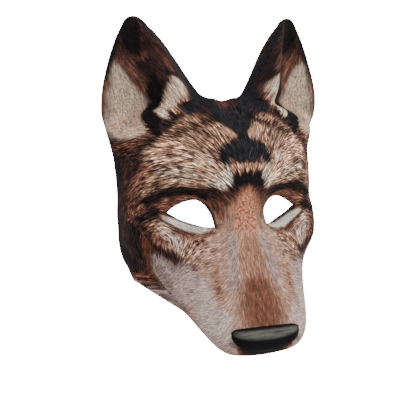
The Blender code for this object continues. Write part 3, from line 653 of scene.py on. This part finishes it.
class Wiring:
    """Adds nodes to a material and links them, for values that are either numbers or sockets."""

    def __init__(self, name, roughness):
        self.material = bpy.data.materials.new(name)
        self.material.use_nodes = True
        self.tree = self.material.node_tree
        self.shader = self.tree.nodes["Principled BSDF"]
        self.shader.inputs["Roughness"].default_value = roughness

    def put(self, value, socket):
        if isinstance(value, bpy.types.NodeSocket):
            self.tree.links.new(value, socket)
        elif value is not None:
            socket.default_value = value

    def node(self, kind, **settings):
        made = self.tree.nodes.new(kind)
        for key, value in settings.items():
            setattr(made, key, value)
        return made

    def math(self, operation, a, b=None, c=None):
        made = self.node("ShaderNodeMath", operation=operation)
        for value, socket in zip((a, b, c), made.inputs):
            self.put(value, socket)
        return made.outputs[0]

    def times(self, a, b):
        return self.math("MULTIPLY", a, b)

    def attribute(self, name, output="Vector"):
        return self.node("ShaderNodeAttribute", attribute_name=name).outputs[output]

    def object_places(self):
        return self.node("ShaderNodeTexCoord").outputs["Object"]

    def noise(self, places, scale, detail=2.0, roughness=0.5):
        made = self.node("ShaderNodeTexNoise")
        self.put(places, made.inputs["Vector"])
        for key, value in (("Scale", scale), ("Detail", detail), ("Roughness", roughness)):
            made.inputs[key].default_value = value
        return made.outputs["Fac"]

    def mapped(self, places, scale, turn=0.0):
        made = self.node("ShaderNodeMapping", vector_type="TEXTURE")
        self.put(places, made.inputs["Vector"])
        made.inputs["Rotation"].default_value = (0, 0, turn)
        made.inputs["Scale"].default_value = scale
        return made.outputs[0]

    def mix(self, share, a, b, blend="MIX"):
        made = self.node("ShaderNodeMix", data_type="RGBA", blend_type=blend)
        self.put(share, made.inputs[0])
        for value, socket in ((a, made.inputs[6]), (b, made.inputs[7])):
            self.put((*value, 1.0) if isinstance(value, tuple) else value, socket)
        return made.outputs[2]

    def tinted(self, share, colour, tint):
        """The colour, multiplied by a tint as far as the share says."""
        return self.mix(share, colour, self.mix(1.0, colour, tint, "MULTIPLY"))

    def ramp(self, value, low, high):
        made = self.node("ShaderNodeMapRange", interpolation_type="SMOOTHSTEP")
        self.put(value, made.inputs["Value"])
        made.inputs["From Min"].default_value = low
        made.inputs["From Max"].default_value = high
        return made.outputs["Result"]

    def bump(self, height, strength, distance):
        made = self.node("ShaderNodeBump")
        self.put(height, made.inputs["Height"])
        made.inputs["Strength"].default_value = strength
        made.inputs["Distance"].default_value = distance
        return made.outputs[0]

    def finish(self, colour, normal=None, **sockets):
        self.put((*colour, 1.0) if isinstance(colour, tuple) else colour, self.shader.inputs["Base Color"])
        self.put(normal, self.shader.inputs["Normal"])
        for key, value in sockets.items():
            self.put(value, self.shader.inputs[key.replace("_", " ")])
        return self.material


def combed_strands(wiring, lay, cloth, strand, ways=8):
    """Strands that follow the fur: noise stretched in a few directions, mixed by the fur's angle."""
    total = power = 0.0
    for step in range(ways):
        turn = math.pi * step / ways
        dot = wiring.node("ShaderNodeVectorMath", operation="DOT_PRODUCT")
        wiring.put(lay, dot.inputs[0])
        dot.inputs[1].default_value = (math.cos(2 * turn), math.sin(2 * turn), 0)
        near = wiring.math("MAXIMUM", dot.outputs["Value"], 0.0)
        weight = wiring.math("POWER", near, 7.0)
        places = wiring.mapped(cloth, (*strand, 1.0), turn)
        drawn = wiring.math("SUBTRACT", wiring.noise(places, 1.0, 2.0), 0.5)
        total = wiring.math("MULTIPLY_ADD", weight, drawn, total)
        power = wiring.math("MULTIPLY_ADD", weight, weight, power)
    return wiring.math("DIVIDE", total, wiring.math("SQRT", wiring.math("MAXIMUM", power, 0.02)))


def printed_fabric():
    wiring = Wiring("printed_fabric", 0.78)
    coat = wiring.attribute("coat", "Color")
    lay = wiring.attribute("lay")
    cloth = wiring.attribute("cloth")
    parts = wiring.node("ShaderNodeSeparateXYZ")
    wiring.put(lay, parts.inputs[0])
    bristle = parts.outputs["Z"]
    # strands, long and fine
    broad = combed_strands(wiring, lay, cloth, BROAD_STRAND)
    fine = combed_strands(wiring, lay, cloth, FINE_STRAND)
    strands = wiring.math("MULTIPLY_ADD", broad, 4.4, wiring.times(fine, 2.2))
    scaled = wiring.times(strands, wiring.math("MULTIPLY_ADD", bristle, 1.5, 0.2))
    light = wiring.math("EXPONENT", wiring.math("MULTIPLY_ADD", bristle, -0.26, scaled))
    colour = wiring.mix(1.0, coat, light, "MULTIPLY")
    # dark and pale guard hairs on bristly fur
    furred = wiring.ramp(bristle, 0.45, 0.95)
    guard = combed_strands(wiring, lay, cloth, GUARD_HAIR)
    dark = wiring.times(wiring.ramp(guard, 0.02, 0.10), wiring.times(furred, 0.85))
    colour = wiring.tinted(dark, colour, (0.12, 0.08, 0.08))
    pale = wiring.times(wiring.ramp(guard, -0.01, -0.10), furred)
    colour = wiring.tinted(pale, colour, (1.75, 1.60, 1.55))
    # red mottling, speckle and a grey cast on short fur
    smooth = wiring.math("SUBTRACT", 1.0, bristle)
    mottle = wiring.noise(wiring.mapped(cloth, (*MOTTLE, 1.0)), 1.0, 4.0, 0.7)
    red = wiring.times(wiring.ramp(mottle, 0.50, 0.66), wiring.times(smooth, 0.6))
    colour = wiring.tinted(red, colour, (0.80, 0.58, 0.50))
    speckle = wiring.noise(wiring.mapped(cloth, (*SPECKLE, 1.0)), 1.0, 2.0, 0.6)
    shorn = wiring.times(wiring.ramp(smooth, 0.64, 0.92), 0.9)
    spots = wiring.times(wiring.ramp(speckle, 0.48, 0.60), shorn)
    colour = wiring.tinted(spots, colour, (0.40, 0.23, 0.18))
    lit = wiring.times(wiring.ramp(speckle, 0.50, 0.38), shorn)
    colour = wiring.tinted(lit, colour, (1.38, 1.34, 1.30))
    grey = wiring.times(wiring.ramp(mottle, 0.48, 0.34), wiring.times(smooth, 0.25))
    colour = wiring.tinted(grey, colour, (1.18, 1.22, 1.28))
    weave = wiring.noise(wiring.mapped(cloth, (*WEAVE, 1.0)), 1.0, 1.0)
    normal = wiring.bump(weave, 0.25, 0.0002)
    return wiring.finish(colour, normal, Sheen_Weight=0.03, Sheen_Roughness=0.4, Specular_IOR_Level=0.12)


def scaled_colour(colour, share):
    return tuple(c * share for c in colour)


def foam_back(colour):
    wiring = Wiring("foam_back", 0.85)
    grain = wiring.noise(wiring.object_places(), 900.0, 3.0)
    tint = wiring.mix(wiring.ramp(grain, 0.3, 0.7), scaled_colour(colour, 0.7), scaled_colour(colour, 1.5))
    return wiring.finish(tint, wiring.bump(grain, 0.4, 0.0004))


def nose_material_with_painted_highlight(colour, painted_highlight_colour):
    wiring = Wiring("nose_vinyl", 0.38)
    grain = wiring.noise(wiring.object_places(), 700.0, 3.0)
    # Painted highlight: the band attribute mixes the nose colour toward the lighter shine colour in streaks,
    # in place of a reflection of the light from above
    parts = wiring.node("ShaderNodeSeparateXYZ")
    wiring.put(wiring.attribute("painted_highlight_band"), parts.inputs[0])
    streak = wiring.noise(wiring.mapped(wiring.object_places(), (0.016, 1.0, 0.0022)), 1.0, 2.0)
    share = wiring.times(parts.outputs["X"], wiring.ramp(streak, 0.1, 0.7))
    tint = wiring.mix(share, colour, painted_highlight_colour)
    return wiring.finish(tint, wiring.bump(grain, 0.35, 0.0003), Specular_IOR_Level=0.1)


def elastic_finish(colour):
    wiring = Wiring("elastic", 0.8)
    places = wiring.attribute("cloth")

    def ribs(direction, width):
        wave = wiring.node("ShaderNodeTexWave", wave_type="BANDS", bands_direction=direction)
        wiring.put(wiring.mapped(places, (width, width, 1.0)), wave.inputs["Vector"])
        wave.inputs["Scale"].default_value = 0.32
        return wave.outputs["Fac"]

    rib = wiring.times(ribs("Y", 0.0016), wiring.math("MULTIPLY_ADD", ribs("X", 0.0010), 0.6, 0.4))
    tint = wiring.mix(rib, scaled_colour(colour, 0.5), scaled_colour(colour, 1.8))
    return wiring.finish(tint, wiring.bump(rib, 0.6, 0.0004), Sheen_Weight=0.2)


# Pieces


def moulded_sheet(name, points):
    """A flat grid pressed to rows x columns of points."""
    rows, columns = points.shape[:2]
    deselect_all()
    bpy.ops.mesh.primitive_grid_add(x_subdivisions=columns - 1, y_subdivisions=rows - 1, size=1)
    obj = bpy.context.object
    obj.name = obj.data.name = name
    obj.data.vertices.foreach_set("co", points.reshape(-1))
    obj.data.update()
    return obj


def join_pieces(pieces):
    activate(pieces[0])
    for piece in pieces:
        piece.select_set(True)
    bpy.ops.object.join()
    bpy.ops.object.mode_set(mode="EDIT")
    bpy.ops.mesh.select_all(action="SELECT")
    bpy.ops.mesh.remove_doubles(threshold=1e-6)
    bpy.ops.object.mode_set(mode="OBJECT")
    return pieces[0]


def lid_curve(points, width, height):
    knots = np.array([(along * width, up * height) for along, up in points])
    return loft(2 * knots[0] - knots[1], list(knots), 2 * knots[-1] - knots[-2], width / 50)


def eye_outline(size):
    upper = lid_curve(UPPER_LID, size.eye_width, size.eye_rise)
    lower = lid_curve([*LOWER_LID, UPPER_LID[0]], size.eye_width, -size.eye_drop)
    ring = np.concatenate([upper[:-1], lower[:-1]])
    c, s = math.cos(size.eye_tilt), math.sin(size.eye_tilt)
    return ring @ np.array([[c, s], [-s, c]]) + np.array([size.eye_spacing / 2, -size.eye_below])


def eye_cutter(outline, depth, material):
    """A closed block through an outline, drawn from a disc and pushed through the face."""
    deselect_all()
    bpy.ops.mesh.primitive_circle_add(vertices=len(outline), fill_type="NGON")
    cutter = bpy.context.object
    for vert, (x, z) in zip(cutter.data.vertices, outline):
        vert.co = (x, -depth, z)
    bpy.ops.object.mode_set(mode="EDIT")
    bpy.ops.mesh.select_all(action="SELECT")
    bpy.ops.mesh.extrude_region_move(TRANSFORM_OT_translate={"value": (0, 2 * depth, 0)})
    bpy.ops.mesh.select_all(action="SELECT")
    bpy.ops.mesh.normals_make_consistent(inside=False)
    bpy.ops.object.mode_set(mode="OBJECT")
    cutter.data.materials.append(material)
    return cutter


def weigh_wall(obj, size):
    group = obj.vertex_groups.new(name="wall")
    crown = FACE[-2].mid_height * size.face_height
    notch = FACE[-1].mid_height * size.face_height
    shares = [round(min(1.0, max(0.0, (v.co.z - crown) / (notch - crown))), 3) for v in obj.data.vertices]
    for share in sorted(set(shares)):
        group.add([i for i, s in enumerate(shares) if s == share], 1 - share, "REPLACE")


def thin_inside(obj, kept):
    """Keep the mesh dense only where the print is: the plain foam side needs fewer faces."""
    printed = {v for face in obj.data.polygons if face.material_index == 0 for v in face.vertices}
    group = obj.vertex_groups.new(name="inside")
    group.add([v.index for v in obj.data.vertices if v.index not in printed], 1.0, "REPLACE")
    thin = obj.modifiers.new("thin", "DECIMATE")
    thin.ratio = kept
    thin.vertex_group = "inside"
    apply_modifier(obj, "thin")


def store(mesh, name, kind, values):
    layer = mesh.attributes.new(name, kind, "POINT")
    field = "color" if kind == "FLOAT_COLOR" else "vector"
    layer.data.foreach_set(field, np.ascontiguousarray(values).reshape(-1))


def print_on(obj, grid, fields):
    """Give each vertex the print of the nearest point of the grid."""
    places = grid.reshape(-1, 3)
    tree = KDTree(len(places))
    for i, place in enumerate(places):
        tree.insert(place, i)
    tree.balance()
    nearest = np.array([tree.find(v.co)[1] for v in obj.data.vertices])
    for name, (kind, values) in fields.items():
        store(obj.data, name, kind, values.reshape(len(places), -1)[nearest])


def shell_fields(grid, face_rows, start, tones):
    across, up = cloth_places(grid, face_rows, start)
    angle = lie_angles(grid[..., 0], grid[..., 2])
    columns, rows, flat = flow(grid, angle, across, up)
    colour, bristle = paint_coat(across, up, flat, columns, rows, tones)
    ones = np.ones((*colour.shape[:2], 1))
    lay = np.stack([np.cos(2 * flat), np.sin(2 * flat), bristle], axis=2)
    cloth = np.stack([across, up, np.zeros_like(up)], axis=2)
    return {
        "coat": ("FLOAT_COLOR", np.concatenate([colour, ones], axis=2)),
        "lay": ("FLOAT_VECTOR", lay),
        "cloth": ("FLOAT_VECTOR", cloth),
    }


class WOLFMASK_OT_shell(bpy.types.Operator):
    """Mould the face and ears, cut the eye openings and print the fur"""

    bl_idname = "wolfmask.shell"
    bl_label = "Mask shell"

    def execute(self, context):
        size, trim, coat = context.scene.wolf_shell, context.scene.wolf_trim, context.scene.wolf_coat
        grid, face_rows, seat = whole_grid(size)
        start, middle = ear_start(size), size.columns
        sheets = [
            moulded_sheet("shell_face", grid[:face_rows]),
            moulded_sheet("shell_ear_left", grid[face_rows - 1 :, middle + start :]),
            moulded_sheet("shell_ear_right", grid[face_rows - 1 :, : middle - start + 1]),
        ]
        shell = join_pieces(sheets)
        shell.name = shell.data.name = "shell"
        foam = foam_back(tuple(trim.foam))
        for material in (printed_fabric(), foam):
            shell.data.materials.append(material)
        weigh_wall(shell, size)
        wall = shell.modifiers.new("wall", "SOLIDIFY")
        wall.thickness = size.wall
        wall.offset = -1
        wall.vertex_group = "wall"
        wall.thickness_vertex_group = size.ear_wall / size.wall
        wall.material_offset = 1
        wall.material_offset_rim = 1
        apply_modifier(shell, "wall")
        thin_inside(shell, size.kept)
        outline = eye_outline(size)
        for mirror in (1, -1):
            cutter = eye_cutter(outline * np.array([mirror, 1.0]), size.face_depth, foam)
            cut = shell.modifiers.new("eye", "BOOLEAN")
            cut.operation = "DIFFERENCE"
            cut.solver = "EXACT"
            cut.material_mode = "TRANSFER"
            cut.object = cutter
            apply_modifier(shell, "eye")
            bpy.data.objects.remove(cutter, do_unlink=True)
        tones = {name: np.array(getattr(coat, name)) for name in WolfMaskCoat.__annotations__}
        used = np.ones(grid.shape[:2], bool)
        used[face_rows:, middle - start + 1 : middle + start] = False
        fields = shell_fields(grid, face_rows, start, tones)
        kept = {name: (kind, values[used]) for name, (kind, values) in fields.items()}
        print_on(shell, grid[used], kept)
        activate(shell)
        bpy.ops.object.shade_smooth_by_angle(angle=math.radians(50))
        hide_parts("face_shell")
        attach(shell, "root")
        context.scene["wolf_seat"] = seat
        return {"FINISHED"}


def tree_of(obj):
    return BVHTree.FromObject(obj, bpy.context.evaluated_depsgraph_get())


def nose_tall(share, trim):
    """Height of the nose pad at a share of half its width from the middle."""
    return trim.nose_end + (trim.nose_height - trim.nose_end) * (1 - share**2) ** 0.75


class WOLFMASK_OT_nose(bpy.types.Operator):
    """Shape the nose pad on the front of the muzzle"""

    bl_idname = "wolfmask.nose"
    bl_label = "Nose pad"

    def execute(self, context):
        size, trim = context.scene.wolf_shell, context.scene.wolf_trim
        tree = tree_of(bpy.data.objects["shell"])
        across = np.linspace(-1, 1, NOSE_COLUMNS)
        down = np.linspace(0, 1, NOSE_ROWS)
        top = FACE[0].mid_height * size.face_height + trim.nose_raise + trim.nose_height
        points = np.empty((len(down), len(across), 3))
        crown = np.empty((len(down), len(across)))
        for i, share in enumerate(across):
            drop = trim.nose_end / 4 * abs(share) ** 12
            tall = nose_tall(share, trim) - 2 * drop
            for j, d in enumerate(down):
                x, z = share * trim.nose_width / 2, top - drop - tall * d
                hit = tree.ray_cast(Vector((x, -size.face_depth, z)), Vector((0, 1, 0)))[0]
                points[j, i] = (x, hit.y - trim.nose_gap, z)
                rise = (1 - share**4) ** 0.5 * math.sin(math.pi * min(1, 0.12 + 0.8 * d))
                rim = NOSE_RIM * math.exp(-(((d - 0.04) / 0.05) ** 2))
                crown[j, i] = trim.nose_thickness * (NOSE_EDGE + (1 - NOSE_EDGE) * rise + rim)
        front = points.copy()
        front[..., 1] -= crown
        back = moulded_sheet("nose_back", points[::-1])
        nose = moulded_sheet("nose", front[::-1])
        activate(back)
        bpy.ops.object.mode_set(mode="EDIT")
        bpy.ops.mesh.select_all(action="SELECT")
        bpy.ops.mesh.flip_normals()
        bpy.ops.object.mode_set(mode="OBJECT")
        activate(nose)
        back.select_set(True)
        bpy.ops.object.join()
        bpy.ops.object.mode_set(mode="EDIT")
        bpy.ops.mesh.select_all(action="DESELECT")
        bpy.ops.mesh.select_non_manifold()
        bpy.ops.mesh.bridge_edge_loops()
        bpy.ops.object.mode_set(mode="OBJECT")
        bevel = nose.modifiers.new("edge", "BEVEL")
        bevel.width = NOSE_ROUND
        bevel.segments = 3
        bevel.limit_method = "ANGLE"
        bevel.angle_limit = math.radians(50)
        apply_modifier(nose, "edge")
        bpy.ops.object.shade_smooth_by_angle(angle=math.radians(60))
        # Painted highlight band: lighter across the upper part of the pad, fading at its top edge, below its
        # middle and at its ends
        painted_highlight_band = np.zeros((len(nose.data.vertices), 3))
        for vert, value in zip(nose.data.vertices, painted_highlight_band):
            share = min(1.0, abs(vert.co.x) / (trim.nose_width / 2))
            down = (top - vert.co.z) / nose_tall(share, trim)
            lower = 1 - smoothstep(0.36, 0.56, down)
            value[0] = smoothstep(0.05, 0.15, down) * lower * (1 - share**8)
        store(nose.data, "painted_highlight_band", "FLOAT_VECTOR", painted_highlight_band)
        nose.data.materials.append(nose_material_with_painted_highlight(tuple(trim.nose), tuple(trim.nose_painted_highlight)))
        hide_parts("nose_pad")
        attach(nose, "root")
        return {"FINISHED"}


def hermite(start, start_pull, end, end_pull, t):
    return (
        (2 * t**3 - 3 * t**2 + 1) * start
        + (t**3 - 2 * t**2 + t) * start_pull
        + (3 * t**2 - 2 * t**3) * end
        + (t**3 - t**2) * end_pull
    )


def strap_stations(size, trim, seat):
    """Half of the strap: where its outer face is, which way is up, and which way is inward."""
    tree = tree_of(bpy.data.objects["shell"])
    half = size.face_width / 2
    stations = []
    for step in range(TONGUE_STEPS + 1):
        y = seat - trim.strap_margin - trim.strap_tongue * (1 - step / TONGUE_STEPS)
        low, middle, high = (
            tree.ray_cast(Vector((half / 3, y, trim.strap_level + lift)), Vector((1, 0, 0)))
            for lift in (-trim.strap_width / 2, 0, trim.strap_width / 2)
        )
        up = (high[0] - low[0]).normalized()
        inward = middle[1] * (-1 if middle[1].x > 0 else 1)
        inward = (inward - inward.dot(up) * up).normalized()
        nearest = max(hit[0].dot(inward) for hit in (low, middle, high))
        clear = nearest - middle[0].dot(inward) + trim.strap_gap
        stations.append((middle[0] + inward * clear, up, inward))
    start, start_up, start_in = stations[-1]
    leaving = (start - stations[-3][0]).normalized() + start_in * STRAP_TURN
    start_pull = leaving.normalized() * trim.strap_reach * STRAP_TURN
    end = Vector((0, seat + trim.strap_reach, trim.strap_level))
    end_pull = Vector((-STRAP_BOW * half, 0, 0))
    for step in range(1, LOOP_STEPS + 1):
        t = step / LOOP_STEPS
        place = hermite(start, start_pull, end, end_pull, t)
        along = (place - hermite(start, start_pull, end, end_pull, t - 0.01)).normalized()
        up = start_up.lerp(Vector((0, 0, 1)), min(1.0, 2 * t))
        if step == LOOP_STEPS:
            along = Vector((-1, 0, 0))
        up = (up - up.dot(along) * along).normalized()
        stations.append((place, up, along.cross(up)))
    return stations


class WOLFMASK_OT_strap(bpy.types.Operator):
    """Lay the elastic strap from temple to temple"""

    bl_idname = "wolfmask.strap"
    bl_label = "Head strap"

    def execute(self, context):
        size, trim, seat = context.scene.wolf_shell, context.scene.wolf_trim, context.scene["wolf_seat"]
        steps = np.linspace(-0.5, 0.5, STRAP_LINES)
        lines = []
        for place, up, inward in strap_stations(size, trim, seat):
            if inward.dot(Vector((0, seat, place.z)) - place) < 0:
                inward = -inward
            lines.append([place + up * trim.strap_width * step + inward * STRAP_TRIM for step in steps])
        left = np.array([[tuple(p) for p in line] for line in lines])
        right = left[-2::-1] * np.array([-1.0, 1.0, 1.0])
        points = np.concatenate([left, right])
        middle = points[:, STRAP_LINES // 2]
        walked = np.concatenate([[0], np.cumsum(np.linalg.norm(np.diff(middle, axis=0), axis=1))])
        strap = moulded_sheet("strap", points)
        cloth = np.zeros((*points.shape[:2], 3))
        cloth[..., 0] = walked[:, None]
        cloth[..., 1] = np.linspace(0, trim.strap_width, STRAP_LINES)[None]
        store(strap.data, "cloth", "FLOAT_VECTOR", cloth)
        wall = strap.modifiers.new("wall", "SOLIDIFY")
        wall.thickness = trim.strap_thickness - STRAP_TRIM
        wall.offset = -1
        wall.use_even_offset = True
        apply_modifier(strap, "wall")
        bevel = strap.modifiers.new("edge", "BEVEL")
        bevel.width = STRAP_ROUND
        bevel.segments = 2
        bevel.limit_method = "ANGLE"
        apply_modifier(strap, "edge")
        bpy.ops.object.shade_smooth_by_angle(angle=math.radians(40))
        strap.data.materials.append(elastic_finish(tuple(trim.elastic)))
        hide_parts("head_strap")
        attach(strap, "root")
        return {"FINISHED"}


def soft_light(name, place, size, power):
    """A round soft light that faces the origin."""
    deselect_all()
    bpy.ops.object.light_add(type="AREA", location=place)
    light = bpy.context.object
    light.name = name
    light.rotation_euler = (-Vector(place)).to_track_quat("-Z", "Y").to_euler()
    light.data.shape = "DISK"
    light.data.size = size
    light.data.energy = power


class WOLFMASK_OT_stage(bpy.types.Operator):
    """Add the floor, the lights and the camera"""

    bl_idname = "wolfmask.stage"
    bl_label = "Studio"

    def execute(self, context):
        stage, seat = context.scene.wolf_stage, context.scene["wolf_seat"]
        deselect_all()
        bpy.ops.mesh.primitive_plane_add(size=PAPER_SIZE, location=(0, 0, -stage.drop))
        floor = bpy.context.object
        floor.name = "floor"
        behind = (0, PAPER_SIZE / 2, PAPER_SIZE / 2 - stage.drop)
        bpy.ops.mesh.primitive_plane_add(size=PAPER_SIZE, location=behind, rotation=(math.pi / 2, 0, 0))
        wall = bpy.context.object
        wall.name = "backdrop"
        glow = Wiring("lit_paper", 0.9).finish(
            tuple(stage.paper), Emission_Color=(*stage.paper, 1), Emission_Strength=stage.glow
        )
        for piece in (floor, wall):
            piece.data.materials.append(glow)
            piece.visible_diffuse = piece.visible_glossy = False
        world = bpy.data.worlds.new("studio")
        world.use_nodes = True
        room = world.node_tree.nodes["Background"]
        room.inputs["Color"].default_value = (*stage.paper, 1)
        room.inputs["Strength"].default_value = ROOM_LIGHT
        context.scene.world = world
        soft_light(*KEY_LIGHT)
        soft_light(*FILL_LIGHT)
        turn, rise = stage.azimuth, stage.elevation
        back = Vector((math.sin(turn) * math.cos(rise), -math.cos(turn) * math.cos(rise), math.sin(rise)))
        target = Vector((0, seat + LOOK_BEHIND, 0))
        bpy.ops.object.camera_add(location=target + back * stage.distance)
        camera = bpy.context.object
        camera.rotation_euler = (-back).to_track_quat("-Z", "Y").to_euler()
        camera.data.lens = stage.focal
        camera.data.sensor_width = 36
        camera.data.shift_x = FRAME_SHIFT
        context.scene.camera = camera
        return {"FINISHED"}


class WOLFMASK_PT_panel(bpy.types.Panel):
    """Lists the mask's pieces and sizes"""

    bl_idname = "WOLFMASK_PT_panel"
    bl_label = "Wolf mask"
    bl_space_type = "VIEW_3D"
    bl_region_type = "UI"
    bl_category = "Mask"

    def draw(self, context):
        for operator in OPERATORS:
            self.layout.operator(operator.bl_idname)
        for group in GROUPS:
            box = self.layout.box()
            for name in GROUPS[group].__annotations__:
                box.prop(getattr(context.scene, group), name)


GROUPS = {
    "wolf_shell": WolfMaskShell,
    "wolf_coat": WolfMaskCoat,
    "wolf_trim": WolfMaskTrim,
    "wolf_stage": WolfMaskStage,
}
OPERATORS = [WOLFMASK_OT_shell, WOLFMASK_OT_nose, WOLFMASK_OT_strap, WOLFMASK_OT_stage]


def register():
    for cls in (*GROUPS.values(), *OPERATORS, WOLFMASK_PT_panel):
        bpy.utils.register_class(cls)
    for name, cls in GROUPS.items():
        setattr(bpy.types.Scene, name, bpy.props.PointerProperty(type=cls))


def unregister():
    for name in GROUPS:
        delattr(bpy.types.Scene, name)
    for cls in (WOLFMASK_PT_panel, *OPERATORS, *GROUPS.values()):
        bpy.utils.unregister_class(cls)


def main():
    register()
    bpy.ops.wolfmask.shell()
    bpy.ops.wolfmask.nose()
    bpy.ops.wolfmask.strap()
    bpy.ops.wolfmask.stage()


if __name__ == "__main__":
    main()
